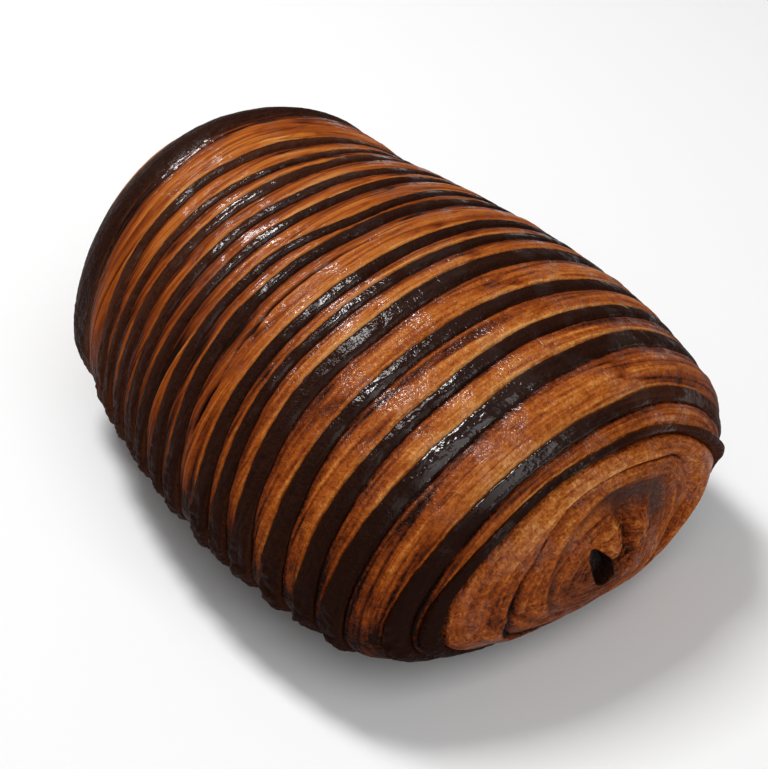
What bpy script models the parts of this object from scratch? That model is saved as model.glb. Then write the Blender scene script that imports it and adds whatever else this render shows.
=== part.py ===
"""Gianduja pain au chocolat: a rolled pastry with cocoa bands and a bar running through it.

X runs along the roll, with the end that shows its winding at +X. Z is up, and the origin is on
the surface that the pastry rests on, below the middle of its bounding box.
"""

import math

import bmesh
import bpy

MM = 0.001

# Sizes in millimetres, angles in degrees.
# The straight run of the roll lies between two stations, and a domed cap closes each end.
FAR_STATION = -36.3
NEAR_STATION = 39.1
FAR_CAP = 17.1
NEAR_CAP = 14.1
CAP_ROUNDNESS = 1.43

# Each section is measured from the roll's crest line, at four equal steps from far to near.
CREST_Y = 3.9
SECTION_STEPS = (-1.0, -1.0 / 3.0, 1.0 / 3.0, 1.0)
SHOWN_SIDE_WIDTHS = (31.2, 38.5, 41.7, 38.5)
BACK_SIDE_WIDTHS = (31.6, 32.5, 34.0, 30.3)
HEIGHTS = (45.1, 43.8, 42.5, 36.5)
SHOWN_SIDE_WAIST = 0.35
BACK_SIDE_WAIST = 0.47
TOP_SQUARENESS = 1.9
BOTTOM_SQUARENESS = 1.95
BASE_FLATTENING = 1.04

# The caps close on a point of each end, low on the near end, where the core curls.
FAR_EYE = (CREST_Y, 20.4)
NEAR_EYE = (CREST_Y - 1.8, 15.4)

# Each cocoa band as its station along the roll and its width, from the far end to the near end.
BANDS = (
    (-35.8, 3.6),
    (-26.0, 2.1),
    (-21.2, 1.8),
    (-16.9, 2.2),
    (-12.3, 2.0),
    (-7.6, 1.7),
    (-3.4, 1.6),
    (1.2, 1.7),
    (9.5, 1.8),
    (13.9, 1.7),
    (19.1, 2.2),
    (25.9, 2.0),
    (32.6, 1.7),
    (38.1, 2.7),
    (45.6, 1.5),
    (48.6, 1.0),
)
BAND_RISE = 0.6
BAND_EDGE = 0.35
RIDGE_CROWN = 0.3
RELIEF_FADE_HEIGHT = 4.0

# The wound layers of an end, as a groove that spirals inward, in shares of the section's size.
GROOVE_DEPTH = 1.1
GROOVE_WIDTH = 0.035
GROOVE_START = 0.54
GROOVE_PITCH = 0.12
GROOVE_TURNS = 2.5

# The bar is a tilted rectangle that runs through the roll and ends just inside each mouth.
BAR_WIDTH = 8.5
BAR_THICKNESS = 4.6
BAR_Y = -2.0
BAR_Z = 16.4
BAR_TILT = 117.0
BAR_FAR_END = -51.0
BAR_NEAR_END = 50.4
BAR_EDGE_RADIUS = 0.8
BAR_EDGE_STEPS = 2
CLEARANCE = 0.3

SECTION_POINTS = 36
CAP_RINGS = 13
SMALLEST_RING = 0.06
CHANNEL_OVERRUN = 8.0

DOUGH_COLOR = (0.31, 0.11, 0.03, 1.0)
BAR_COLOR = (0.035, 0.014, 0.008, 1.0)


def through_steps(values, place):
    """A smooth cubic through the values at the four section steps."""
    total = 0.0
    for index, value in enumerate(values):
        weight = 1.0
        for other, step in enumerate(SECTION_STEPS):
            if other != index:
                weight *= (place - step) / (SECTION_STEPS[index] - step)
        total += value * weight
    return total


def rounded_power(value, squareness):
    """A superellipse's coordinate: the signed value to the power of two over squareness."""
    return math.copysign(abs(value) ** (2.0 / squareness), value)


def section_point(station, angle):
    """The smooth roll's section at a station: Y and Z at an angle about its crest line."""
    middle = (FAR_STATION + NEAR_STATION) / 2.0
    half_run = (NEAR_STATION - FAR_STATION) / 2.0
    place = min(1.0, max(-1.0, (station - middle) / half_run))
    across = math.cos(angle)
    up = math.sin(angle)
    height = through_steps(HEIGHTS, place)
    if across < 0.0:
        width = through_steps(SHOWN_SIDE_WIDTHS, place)
        waist = height * SHOWN_SIDE_WAIST
    else:
        width = through_steps(BACK_SIDE_WIDTHS, place)
        waist = height * BACK_SIDE_WAIST
    if up >= 0.0:
        y = CREST_Y + width * rounded_power(across, TOP_SQUARENESS)
        z = waist + (height - waist) * rounded_power(up, TOP_SQUARENESS)
    else:
        y = CREST_Y + width * rounded_power(across, BOTTOM_SQUARENESS)
        drop = -waist * BASE_FLATTENING * rounded_power(up, BOTTOM_SQUARENESS)
        z = waist - min(waist, drop)
    return y, z


def cap_reach(share, cap_length):
    """How far along a cap lies the ring that is this share of the section's size."""
    slope = math.acos(min(1.0, share))
    return cap_length * math.sin(slope) ** CAP_ROUNDNESS


def cap_share(reach, cap_length):
    """The share of the section's size that a cap's ring keeps at this reach."""
    return math.cos(math.asin((reach / cap_length) ** (1.0 / CAP_ROUNDNESS)))


def smooth_step(edge, width):
    """Zero to one across the width, with a soft start and end."""
    place = min(1.0, max(0.0, edge / width))
    return place * place * (3.0 - 2.0 * place)


def band_relief(station):
    """The height of the surface over the smooth roll: bands raised, dough crowned between."""
    for center, width in BANDS:
        inside = width / 2.0 + BAND_EDGE - abs(station - center)
        if inside > 0.0:
            return BAND_RISE * smooth_step(inside, 2.0 * BAND_EDGE)
    edges_before = [center + width / 2.0 for center, width in BANDS if center < station]
    edges_after = [center - width / 2.0 for center, width in BANDS if center > station]
    if not edges_before or not edges_after:
        return 0.0
    share = (station - edges_before[-1]) / (edges_after[0] - edges_before[-1])
    return RIDGE_CROWN * math.sin(math.pi * min(1.0, max(0.0, share)))


def groove(share, turn):
    """The depth of the spiral groove at a share of the section's size and a turn from 0 to 1."""
    depth = 0.0
    for lap in range(math.ceil(GROOVE_TURNS) + 1):
        wound = turn + lap
        if wound <= GROOVE_TURNS:
            off = (share - GROOVE_START + GROOVE_PITCH * wound) / GROOVE_WIDTH
            depth = max(depth, GROOVE_DEPTH * math.exp(-off * off))
    return depth


def ring_stations():
    """Stations of the rings between the caps: each band's four edges, and each ridge's crown."""
    stations = []
    last_edge = None
    for center, width in BANDS:
        outer = width / 2.0 + BAND_EDGE
        inner = width / 2.0 - BAND_EDGE
        if last_edge is not None:
            stations.append((last_edge + center - outer) / 2.0)
        stations += [center - outer, center - inner, center + inner, center + outer]
        last_edge = center + outer
    return stations


def body_ring(station):
    """One ring of the roll or the banded part of a cap, with the band relief on it."""
    eye, share = NEAR_EYE, 1.0
    if station > NEAR_STATION:
        share = cap_share(station - NEAR_STATION, NEAR_CAP)
    elif station < FAR_STATION:
        eye = FAR_EYE
        share = cap_share(FAR_STATION - station, FAR_CAP)
    relief = band_relief(station)
    points = []
    for index in range(SECTION_POINTS):
        angle = 2.0 * math.pi * index / SECTION_POINTS
        y, z = section_point(station, angle)
        y = eye[0] + (y - eye[0]) * share
        z = eye[1] + (z - eye[1]) * share
        rise = relief * smooth_step(z, RELIEF_FADE_HEIGHT)
        points.append((station, y + rise * math.cos(angle), z + rise * math.sin(angle)))
    return points


def wound_ring(end_station, direction, cap_length, eye, share):
    """One ring of an end's wound face, sunk where the spiral groove crosses it."""
    reach = cap_reach(share, cap_length)
    points = []
    for index in range(SECTION_POINTS):
        turn = index / SECTION_POINTS
        y, z = section_point(end_station, 2.0 * math.pi * turn)
        x = end_station + direction * (reach - groove(share, turn))
        points.append((x, eye[0] + (y - eye[0]) * share, eye[1] + (z - eye[1]) * share))
    return points


def wound_rings(end_station, direction, cap_length, eye, first_share):
    """The rings of an end's wound face, from its banded rim to its eye."""
    rings = []
    for index in range(CAP_RINGS):
        share = first_share + (SMALLEST_RING - first_share) * index / (CAP_RINGS - 1)
        rings.append(wound_ring(end_station, direction, cap_length, eye, share))
    return rings


def loft(name, rings):
    """A closed mesh object through rings of equal point count, each end closed with a fan."""
    mesh = bmesh.new()
    loops = [[mesh.verts.new([value * MM for value in point]) for point in ring] for ring in rings]
    for ring, following in zip(loops, loops[1:]):
        for index in range(SECTION_POINTS):
            after = (index + 1) % SECTION_POINTS
            mesh.faces.new((ring[index], ring[after], following[after], following[index]))
    for ring in (loops[0], loops[-1]):
        cap = mesh.faces.new(ring)
        bmesh.ops.poke(mesh, faces=[cap])
    bmesh.ops.recalc_face_normals(mesh, faces=mesh.faces)
    data = bpy.data.meshes.new(name)
    mesh.to_mesh(data)
    mesh.free()
    return bpy.data.objects.new(name, data)


def tilted_bar(name, far_end, near_end, width, thickness):
    """A box along X with its section tilted as the bar lies in the roll."""
    mesh = bmesh.new()
    bmesh.ops.create_cube(mesh, size=1.0)
    length = near_end - far_end
    bmesh.ops.scale(mesh, vec=(length * MM, width * MM, thickness * MM), verts=mesh.verts)
    data = bpy.data.meshes.new(name)
    mesh.to_mesh(data)
    mesh.free()
    bar = bpy.data.objects.new(name, data)
    bar.location = ((far_end + near_end) / 2.0 * MM, BAR_Y * MM, BAR_Z * MM)
    bar.rotation_euler = (math.radians(BAR_TILT), 0.0, 0.0)
    return bar


def plain_material(name, color, roughness):
    """A Principled BSDF with the part's colour and roughness."""
    material = bpy.data.materials.new(name)
    material.use_nodes = True
    shader = material.node_tree.nodes["Principled BSDF"]
    shader.inputs["Base Color"].default_value = color
    shader.inputs["Roughness"].default_value = roughness
    shader.inputs["Metallic"].default_value = 0.0
    return material


def build_roll(parts, helpers):
    """The baked dough: the banded roll with its wound ends, and the bar's channel through it."""
    stations = ring_stations()
    far_share = cap_share(max(0.0, FAR_STATION - stations[0]), FAR_CAP)
    near_share = cap_share(stations[-1] - NEAR_STATION, NEAR_CAP)
    far_face = wound_rings(FAR_STATION, -1.0, FAR_CAP, FAR_EYE, far_share)[1:]
    near_face = wound_rings(NEAR_STATION, 1.0, NEAR_CAP, NEAR_EYE, near_share)[1:]
    banded = [body_ring(station) for station in stations]
    roll = loft("pastry_roll", far_face[::-1] + banded + near_face)
    roll.data.materials.append(plain_material("baked_dough", DOUGH_COLOR, 0.35))
    roll.data.shade_smooth()
    parts.objects.link(roll)

    reach = CHANNEL_OVERRUN
    channel = tilted_bar(
        "channel_cutter",
        BAR_FAR_END - reach,
        BAR_NEAR_END + reach,
        BAR_WIDTH + 2.0 * CLEARANCE,
        BAR_THICKNESS + 2.0 * CLEARANCE,
    )
    channel.hide_render = True
    channel.display_type = "WIRE"
    helpers.objects.link(channel)
    cut = roll.modifiers.new("channel", "BOOLEAN")
    cut.operation = "DIFFERENCE"
    cut.object = channel


def build_bar(parts):
    """The gianduja bar, with its long edges and ends eased."""
    bar = tilted_bar("gianduja_bar", BAR_FAR_END, BAR_NEAR_END, BAR_WIDTH, BAR_THICKNESS)
    edges = bar.modifiers.new("eased_edges", "BEVEL")
    edges.width = BAR_EDGE_RADIUS * MM
    edges.segments = BAR_EDGE_STEPS
    bar.data.materials.append(plain_material("gianduja", BAR_COLOR, 0.45))
    parts.objects.link(bar)


def new_collection(name):
    """A collection linked to the scene."""
    collection = bpy.data.collections.new(name)
    bpy.context.scene.collection.children.link(collection)
    return collection


def main():
    """Clear the scene and build the pastry."""
    for leftover in list(bpy.data.objects):
        bpy.data.objects.remove(leftover)
    parts = new_collection("gianduja_pain_au_chocolat")
    helpers = new_collection("cutters")
    build_roll(parts, helpers)
    build_bar(parts)


main()
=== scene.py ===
"""The looks of the gianduja pain au chocolat: banded, glazed crust, wound ends and its bar.

The dough is one smooth roll whose surface is a function of two parameters: the path along the
roll, in millimetres, and the angle about its crest line. Everything on it is height over that
surface, worked out as whole numpy arrays.
"""

import logging
import math
from dataclasses import dataclass, field
from enum import Enum
from typing import Optional, Sequence, Union

import bpy
import numpy as np
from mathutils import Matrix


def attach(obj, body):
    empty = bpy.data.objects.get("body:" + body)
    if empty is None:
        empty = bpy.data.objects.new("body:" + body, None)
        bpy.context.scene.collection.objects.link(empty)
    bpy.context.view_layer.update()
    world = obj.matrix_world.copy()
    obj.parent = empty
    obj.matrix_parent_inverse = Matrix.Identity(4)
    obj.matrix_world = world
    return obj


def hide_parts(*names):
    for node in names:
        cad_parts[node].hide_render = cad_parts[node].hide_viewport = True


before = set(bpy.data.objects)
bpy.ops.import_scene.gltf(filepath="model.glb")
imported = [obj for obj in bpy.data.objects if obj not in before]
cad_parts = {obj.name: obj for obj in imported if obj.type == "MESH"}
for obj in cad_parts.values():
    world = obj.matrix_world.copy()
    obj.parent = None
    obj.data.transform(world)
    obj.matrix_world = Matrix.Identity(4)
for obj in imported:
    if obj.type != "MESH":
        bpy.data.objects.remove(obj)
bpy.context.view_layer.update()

Socket = bpy.types.NodeSocket
Feed = Union[float, Socket]
Triple = tuple[float, float, float]

LOG = logging.getLogger("pain_au_chocolat")
MM = 0.001
TURN = 2.0 * math.pi
SEED = 20
BAND_FLOOR = 0.0
DOUGH_FLOOR = 0.08


class Slot(Enum):
    """The record's material slots."""

    DOUGH = "baked_dough"
    BAR = "gianduja"


class End(Enum):
    """The two ends of the roll, with the direction that each faces along X."""

    FAR = -1.0
    NEAR = 1.0


def smooth_step(low: float, high: float, value: np.ndarray) -> np.ndarray:
    """Zero below low and one above high, with a soft start and end.

    Args:
        low: Where the step starts; it may be above high for a falling step.
        high: Where the step ends.
        value: The values to step.

    Returns:
        The stepped values, by three times the square less twice the cube.
    """
    share = np.clip((value - low) / (high - low), 0.0, 1.0)
    return share * share * (3.0 - 2.0 * share)


def bump(value: np.ndarray, width: float) -> np.ndarray:
    """A bell of height one: e to minus the square of the value over the width."""
    return np.exp(-np.square(value / width))


def signed_power(value: np.ndarray, squareness: float) -> np.ndarray:
    """A superellipse's coordinate: the value to two over the squareness, keeping its sign."""
    return np.sign(value) * np.abs(value) ** (2.0 / squareness)


def degrees_of(angle: np.ndarray) -> np.ndarray:
    """The angle in degrees from minus 90, below the roll, to 270."""
    return np.mod(np.degrees(angle) + 90.0, 360.0) - 90.0


def column_angles(columns: int) -> np.ndarray:
    """One row of evenly spaced angles, a whole turn from straight below the roll."""
    return np.arange(columns)[None, :] / columns * TURN - math.pi / 2.0


class Grain:
    """Smooth random relief that closes on itself around the roll."""

    LATTICE = 512

    def __init__(self, seed: int) -> None:
        """Fill a lattice with random heights.

        Args:
            seed: The lattice's own seed, so that each use differs and each run is the same.
        """
        self._heights = np.random.default_rng(SEED + seed).uniform(-1.0, 1.0, (self.LATTICE, self.LATTICE))

    def at(self, along: np.ndarray, around: np.ndarray, cells: int) -> np.ndarray:
        """Relief from minus one to one: lattice heights blended by a fifth-power ease.

        Args:
            along: Place along the roll, in lattice cells.
            around: Place around the roll, as a share of a turn.
            cells: Lattice cells in a turn.

        Returns:
            The relief at each place.
        """
        across = np.mod(around, 1.0) * cells
        row = np.floor(along).astype(np.int64)
        column = np.floor(across).astype(np.int64)
        down, right = along - row, across - column
        down = down**3 * (down * (down * 6.0 - 15.0) + 10.0)
        right = right**3 * (right * (right * 6.0 - 15.0) + 10.0)

        def corner(step_row: int, step_column: int) -> np.ndarray:
            """The lattice height at one corner of each place's cell."""
            rows = (row + step_row) % self.LATTICE
            return self._heights[rows, ((column + step_column) % cells) % self.LATTICE]

        start = corner(0, 0) * (1.0 - right) + corner(0, 1) * right
        end = corner(1, 0) * (1.0 - right) + corner(1, 1) * right
        return start * (1.0 - down) + end * down

    def rough(self, along: np.ndarray, around: np.ndarray, cells: int, octaves: int) -> np.ndarray:
        """Relief with finer relief on it: each octave is twice as fine and half as high.

        Args:
            along: Place along the roll, in cells of the coarsest octave.
            around: Place around the roll, as a share of a turn.
            cells: Cells in a turn at the coarsest octave.
            octaves: How many layers of relief are added.

        Returns:
            The relief, between about minus one and one.
        """
        total = np.zeros(np.broadcast(along, around).shape)
        for octave in range(octaves):
            scale = 2**octave
            total = total + self.at(along * scale + 17.0 * octave, around, cells * scale) / scale
        return total / (2.0 - 0.5 ** (octaves - 1))


@dataclass
class RollShape:
    """The smooth roll, in the sizes of its CAD solid, in millimetres.

    A section at angle a about the crest line is a superellipse above its waist and a flatter one,
    cut off by the surface it rests on, below it. The caps are the end sections scaled towards an
    eye by the cosine of a slope while they reach outward by a power of its sine.
    """

    far_station: float = -36.3
    near_station: float = 39.1
    far_cap: float = 17.1
    near_cap: float = 14.1
    cap_roundness: float = 1.43
    crest_y: float = 3.9
    steps: tuple[float, ...] = (-1.0, -1.0 / 3.0, 1.0 / 3.0, 1.0)
    shown_widths: tuple[float, ...] = (31.2, 38.5, 41.7, 38.5)
    back_widths: tuple[float, ...] = (31.6, 32.5, 34.0, 30.3)
    heights: tuple[float, ...] = (45.1, 43.8, 42.5, 36.5)
    shown_waist: float = 0.35
    back_waist: float = 0.47
    top_squareness: float = 1.9
    bottom_squareness: float = 1.95
    base_flattening: float = 1.04
    far_eye: tuple[float, float] = (3.9, 20.4)
    near_eye: tuple[float, float] = (2.1, 15.4)
    section_radius: float = 34.0
    girth_radius: float = 30.0
    smallest_share: float = 0.004
    cap_steps: int = 400
    sunk_depth: float = 0.8
    drawn_depth: float = 2.1
    _path: np.ndarray = field(init=False)
    _station: np.ndarray = field(init=False)
    _share: np.ndarray = field(init=False)

    def __post_init__(self) -> None:
        """Lay out the path: its length is measured along the caps' slopes as well as the run."""
        slope = np.linspace(0.0, math.acos(self.smallest_share), self.cap_steps)
        rise = np.sin(slope) ** self.cap_roundness
        share = np.cos(slope)
        near_length = self._length(rise * self.near_cap, share)
        far_length = self._length(rise * self.far_cap, share)
        self._path = np.concatenate([self.far_station - far_length[::-1], self.near_station + near_length])
        self._station = np.concatenate(
            [self.far_station - (rise * self.far_cap)[::-1], self.near_station + rise * self.near_cap]
        )
        self._share = np.concatenate([share[::-1], share])

    def _length(self, reach: np.ndarray, share: np.ndarray) -> np.ndarray:
        """Length along a cap's slope, summed from its steps outward and inward.

        Args:
            reach: How far outward each step lies, in millimetres.
            share: The share of the end section's size at each step.

        Returns:
            The length from the cap's start to each step, in millimetres.
        """
        inward = (1.0 - share) * self.section_radius
        steps = np.hypot(np.diff(reach), np.diff(inward))
        return np.concatenate([[0.0], np.cumsum(steps)])

    def path_end(self, end: End) -> float:
        """The path at the eye of an end."""
        return float(self._path[-1] if end is End.NEAR else self._path[0])

    def share(self, path: np.ndarray) -> np.ndarray:
        """The share of the end section's size at a path: one along the straight run."""
        return np.interp(path, self._path, self._share)

    def _through(self, values: Sequence[float], place: np.ndarray) -> np.ndarray:
        """The cubic through four values at the section steps, by Lagrange's weights.

        Args:
            values: The value at each section step.
            place: Place along the straight run, from minus one to one.

        Returns:
            The value at each place.
        """
        total = np.zeros_like(place)
        for index, value in enumerate(values):
            weight = np.ones_like(place)
            for other, step in enumerate(self.steps):
                if other != index:
                    weight = weight * (place - step) / (self.steps[index] - step)
            total = total + value * weight
        return total

    def points(self, path: np.ndarray, angle: np.ndarray) -> np.ndarray:
        """Points of the smooth roll.

        Args:
            path: Path along the roll, in millimetres.
            angle: Angle about the crest line: zero faces the back side and a quarter turn is up.

        Returns:
            An array with a last axis of X, Y and Z in millimetres.
        """
        station = np.interp(path, self._path, self._station)
        share = np.interp(path, self._path, self._share)
        middle = (self.far_station + self.near_station) / 2.0
        half_run = (self.near_station - self.far_station) / 2.0
        place = np.clip((station - middle) / half_run, -1.0, 1.0)
        across, up = np.cos(angle), np.sin(angle)
        height = self._through(self.heights, place)
        shown = across < 0.0
        shown_width = self._through(self.shown_widths, place)
        width = np.where(shown, shown_width, self._through(self.back_widths, place))
        waist = height * np.where(shown, self.shown_waist, self.back_waist)
        upper = waist + (height - waist) * signed_power(np.abs(up), self.top_squareness)
        drop = waist * self.base_flattening * signed_power(np.abs(up), self.bottom_squareness)
        lower = waist - np.minimum(waist, drop)
        top_side = signed_power(across, self.top_squareness)
        side = np.where(up >= 0.0, top_side, signed_power(across, self.bottom_squareness))
        y = self.crest_y + width * side
        z = np.where(up >= 0.0, upper, lower)
        near = station > middle
        eye_y = np.where(near, self.near_eye[0], self.far_eye[0])
        eye_z = np.where(near, self.near_eye[1], self.far_eye[1])
        return np.stack([station, eye_y + (y - eye_y) * share, eye_z + (z - eye_z) * share], axis=-1)

    def normals(self, path: np.ndarray, angle: np.ndarray) -> np.ndarray:
        """Unit vectors out of the smooth roll: the cross product of its two small steps.

        Args:
            path: Path along the roll, in millimetres.
            angle: Angle about the crest line.

        Returns:
            An array with a last axis of X, Y and Z.
        """
        step_path, step_angle = 0.4, 0.02
        along = self.points(path + step_path, angle) - self.points(path - step_path, angle)
        around = self.points(path, angle + step_angle) - self.points(path, angle - step_angle)
        outward = np.cross(around, along)
        return outward / np.maximum(np.linalg.norm(outward, axis=-1, keepdims=True), 1e-9)

    def slack(self, path: np.ndarray, angle: np.ndarray) -> np.ndarray:
        """How far the baked crust lies inside the smooth roll, in millimetres.

        It has sunk a little behind the far band, and the back side of the near end is drawn in.

        Args:
            path: Path along the roll, in millimetres.
            angle: Angle about the crest line.

        Returns:
            The depth below the smooth roll, a bell times soft steps for each of the two places.
        """
        side = degrees_of(angle)
        sunk = bump(path + 25.0, 9.0) * smooth_step(100.0, 76.0, side) * smooth_step(20.0, 50.0, side)
        drawn = smooth_step(53.6, 58.0, path) * smooth_step(77.0, 67.0, path)
        drawn = drawn * smooth_step(66.0, 30.0, side) * smooth_step(-75.0, -25.0, side)
        return self.sunk_depth * sunk + self.drawn_depth * drawn

    def raised(self, path: np.ndarray, angle: np.ndarray, height: np.ndarray, floor: float) -> np.ndarray:
        """Points at a height over the smooth roll, held above the surface it rests on.

        Args:
            path: Path along the roll, in millimetres.
            angle: Angle about the crest line.
            height: Height over the smooth roll, in millimetres.
            floor: The lowest Z that a point may have.

        Returns:
            The points, with any that would go below the floor laid on it.
        """
        height = height - self.slack(path, angle)
        points = self.points(path, angle) + self.normals(path, angle) * height[..., None]
        low = points[..., 2] - floor
        soft = 0.6
        points[..., 2] = floor + 0.5 * (low + np.sqrt(low * low + soft * soft)) - 0.5 * soft * bump(low, 1.5)
        points[..., 2] = np.maximum(points[..., 2], floor)
        return points


@dataclass
class SkinPiece:
    """A finished piece of surface: its points, its path and angle for the map, and its masks."""

    name: str
    points: np.ndarray
    path: np.ndarray
    angle: np.ndarray
    masks: dict[str, np.ndarray]
    pole_first: bool = False
    pole_last: bool = False

    def _fan(self, ring: np.ndarray, pole: int, turned: bool) -> np.ndarray:
        """Triangles from each edge of a closed ring to its pole.

        Args:
            ring: The ring's points, in order.
            pole: The pole's point.
            turned: True where the triangles run the other way round, as they do at the first pole.

        Returns:
            The three corners of each triangle.
        """
        after = np.roll(ring, -1)
        poles = np.full_like(ring, pole)
        return np.stack([after, ring, poles] if turned else [ring, after, poles], axis=-1)

    def _faces(self) -> tuple[np.ndarray, np.ndarray, np.ndarray]:
        """Quads between the rows, then the fans that close the poles.

        Returns:
            The points with the poles added, the corners of the quads and those of the triangles.
        """
        rows, columns = self.path.shape
        index = np.arange(rows * columns).reshape(rows, columns)
        after = np.roll(index, -1, axis=1)
        quads = np.stack([index[:-1], after[:-1], after[1:], index[1:]], axis=-1).reshape(-1, 4)
        points = self.points.reshape(-1, 3)
        fans = []
        for wanted, row, turned in ((self.pole_first, 0, True), (self.pole_last, -1, False)):
            if wanted:
                fans.append(self._fan(index[row], len(points), turned))
                points = np.concatenate([points, self.points[row].mean(axis=0)[None, :]])
        triangles = np.concatenate(fans) if fans else np.zeros((0, 3), dtype=np.int64)
        return points, quads, triangles

    def _chart(self, quads: np.ndarray, triangles: np.ndarray, girth: float) -> np.ndarray:
        """Map corners in metres: the path, and the angle times the girth's radius.

        A quad that closes the turn has its far corners one whole turn on, so no face is smeared.

        Args:
            quads: The corners of the quads.
            triangles: The corners of the triangles at the poles.
            girth: The radius that the angle is multiplied by, in millimetres.

        Returns:
            U and V for each corner of each face.
        """
        rows, columns = self.path.shape
        poles = int(self.pole_first) + int(self.pole_last)
        path = np.concatenate([self.path.ravel(), np.full(poles, self.path.mean())])
        turn = np.concatenate([np.tile(np.arange(columns) / columns, rows), np.full(poles, 0.5)])
        around = turn[quads]
        around[:, 1:3] += around[:, 1:3] < around[:, :1] - 0.5
        corners = np.concatenate([path[quads].ravel(), path[triangles].ravel()])
        turns = np.concatenate([around.ravel(), turn[triangles].ravel()])
        return np.stack([corners, turns * TURN * girth], axis=-1) * MM

    def make(self, shape: RollShape, material: bpy.types.Material) -> bpy.types.Object:
        """Build the mesh, with rows along the path and columns that close around the roll.

        Args:
            shape: The roll, for the girth that the map is drawn to.
            material: The piece's finish.

        Returns:
            The object, which rides on the roll's body.
        """
        points, quads, triangles = self._faces()
        chart = self._chart(quads, triangles, shape.girth_radius)
        corners = np.concatenate([quads.ravel(), triangles.ravel()])
        starts = np.concatenate([np.arange(len(quads)) * 4, quads.size + np.arange(len(triangles)) * 3])
        mesh = bpy.data.meshes.new(self.name)
        mesh.vertices.add(len(points))
        mesh.vertices.foreach_set("co", (points * MM).astype(np.float32).ravel())
        mesh.loops.add(len(corners))
        mesh.loops.foreach_set("vertex_index", corners.astype(np.int32))
        mesh.polygons.add(len(starts))
        mesh.polygons.foreach_set("loop_start", starts.astype(np.int32))
        mesh.update(calc_edges=True)
        layer = mesh.uv_layers.new(name="skin")
        layer.data.foreach_set("uv", chart.astype(np.float32).ravel())
        poles = len(points) - self.path.size
        for name, mask in self.masks.items():
            spread = np.broadcast_to(mask, self.path.shape).ravel()
            spread = np.concatenate([spread, np.full(poles, spread.mean())])
            values = mesh.attributes.new(name, "FLOAT", "POINT")
            values.data.foreach_set("value", spread.astype(np.float32))
        mesh.shade_smooth()
        mesh.validate()
        piece = bpy.data.objects.new(self.name, mesh)
        bpy.context.scene.collection.objects.link(piece)
        piece.data.materials.append(material)
        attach(piece, "root")
        return piece


@dataclass(frozen=True)
class Band:
    """A cocoa band's course round the roll, in millimetres along the path.

    crest and width are its middle and its width on top. The middle moves by back over the back
    shoulder, by sway on the shown shoulder and by foot at the shown foot, where the band is
    wider by spread. swing moves the hidden rear of the two last bands, and lip lifts the rear of
    the last. rise is the band's height, and gloss is how much syrup lies on the shown shoulder,
    up to one.
    """

    crest: float
    width: float
    back: float
    sway: float
    foot: float
    spread: float
    swing: float = 0.0
    rise: float = 0.24
    lip: float = 0.0
    gloss: float = 0.25

    def middle(self, side: np.ndarray) -> np.ndarray:
        """The middle's path at a side angle in degrees: soft steps from one shift to the next.

        Args:
            side: Side angle in degrees, from minus 90 below the roll to 270.

        Returns:
            The path of the middle, in millimetres.
        """
        shown = self.sway * smooth_step(92.0, 118.0, side)
        low = (self.foot - self.sway) * smooth_step(128.0, 178.0, side)
        behind = self.back * smooth_step(88.0, 60.0, side) + self.swing * smooth_step(36.0, -40.0, side)
        under = (self.back + self.swing - self.foot) * smooth_step(180.0, 262.0, side)
        return self.crest + shown + low + behind + under

    def half_width(self, side: np.ndarray) -> np.ndarray:
        """Half the width, which grows at the shown foot and is back to its own underneath.

        Args:
            side: Side angle in degrees, from minus 90 below the roll to 270.

        Returns:
            Half the width, in millimetres: a rising and a falling soft step swell it.
        """
        swell = smooth_step(128.0, 175.0, side) * smooth_step(262.0, 190.0, side)
        return (self.width + self.spread * swell) / 2.0


BANDS: tuple[Band, ...] = (
    Band(-39.7, 10.4, -0.1, 0.0, 1.6, 2.8, rise=0.15),
    Band(-26.2, 1.8, 0.3, -1.1, 2.6, 1.2),
    Band(-20.9, 1.3, -0.7, -1.6, 0.5, 0.7),
    Band(-17.4, 2.0, -0.9, -1.0, 1.7, 0.6),
    Band(-12.4, 1.7, 0.3, -1.2, 1.7, 1.1),
    Band(-8.1, 1.7, -0.5, -1.1, 1.1, 0.9),
    Band(-2.1, 1.6, -1.0, -2.5, 0.5, 1.0),
    Band(0.3, 1.9, 0.1, -0.9, 3.3, 1.1),
    Band(8.2, 1.9, -0.6, -0.1, 2.8, 1.0),
    Band(12.0, 1.7, -0.2, -0.1, 3.3, 0.9),
    Band(17.0, 3.0, -0.1, 0.2, 3.3, 0.4, gloss=0.8),
    Band(24.4, 2.2, 0.3, 0.0, 2.0, 1.2, gloss=0.45),
    Band(30.7, 2.1, -0.1, 0.6, 1.5, 0.9, gloss=0.7),
    Band(36.7, 2.8, -0.7, 0.5, -0.1, 0.6, gloss=1.0),
    Band(47.0, 2.8, -0.7, 0.1, -1.5, 0.7, swing=-4.0, rise=0.32, gloss=0.9),
    Band(52.7, 1.6, -0.1, -0.7, -3.0, 1.1, swing=-6.5, rise=0.36, lip=1.0, gloss=0.1),
)


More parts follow.
